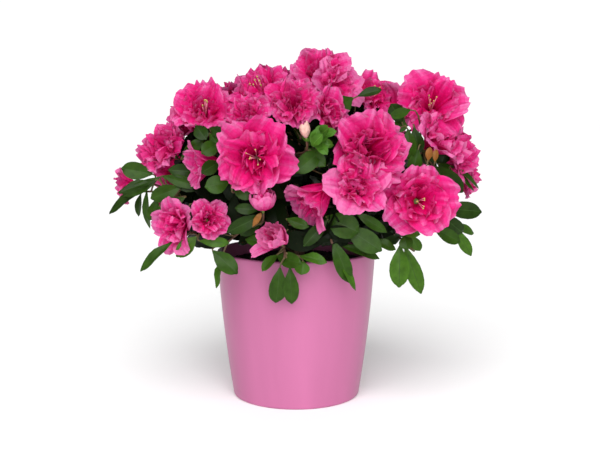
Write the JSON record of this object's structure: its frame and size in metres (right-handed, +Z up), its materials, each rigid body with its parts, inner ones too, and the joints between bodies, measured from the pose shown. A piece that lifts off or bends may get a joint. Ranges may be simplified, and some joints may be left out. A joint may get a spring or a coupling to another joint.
{
  "type": "potted azalea shrub",
  "caption": "Azalea in a smooth glazed pot, with a dome of ruffled double blossom over dark leaves.",
  "frame": {"origin": "middle of the pot's flat underside", "axes": "+Z up, -Y towards the front of the plant, +X to its right as seen from the front"},
  "size_m": [0.3296, 0.266, 0.3047],
  "materials": {
    "glaze": "gloss",
    "soil": "matte",
    "bark": "matte",
    "foliage": "satin"
  },
  "bodies": {
    "root": {"pot": "glaze", "soil": "soil", "trunk": "bark", "bough_low_1": "bark", "bough_low_2": "bark", "bough_low_3": "bark", "bough_low_4": "bark", "bough_low_5": "bark", "bough_low_6": "bark", "bough_high_1": "bark", "bough_high_2": "bark", "bough_high_3": "bark", "bough_high_4": "bark", "bough_high_5": "bark", "bough_top": "bark", "foliage_low_1": "foliage", "foliage_low_2": "foliage", "foliage_low_3": "foliage", "foliage_low_4": "foliage", "foliage_low_5": "foliage", "foliage_low_6": "foliage", "foliage_high_1": "foliage", "foliage_high_2": "foliage", "foliage_high_3": "foliage", "foliage_high_4": "foliage", "foliage_high_5": "foliage", "foliage_top": "foliage"}
  },
  "joints": []
}
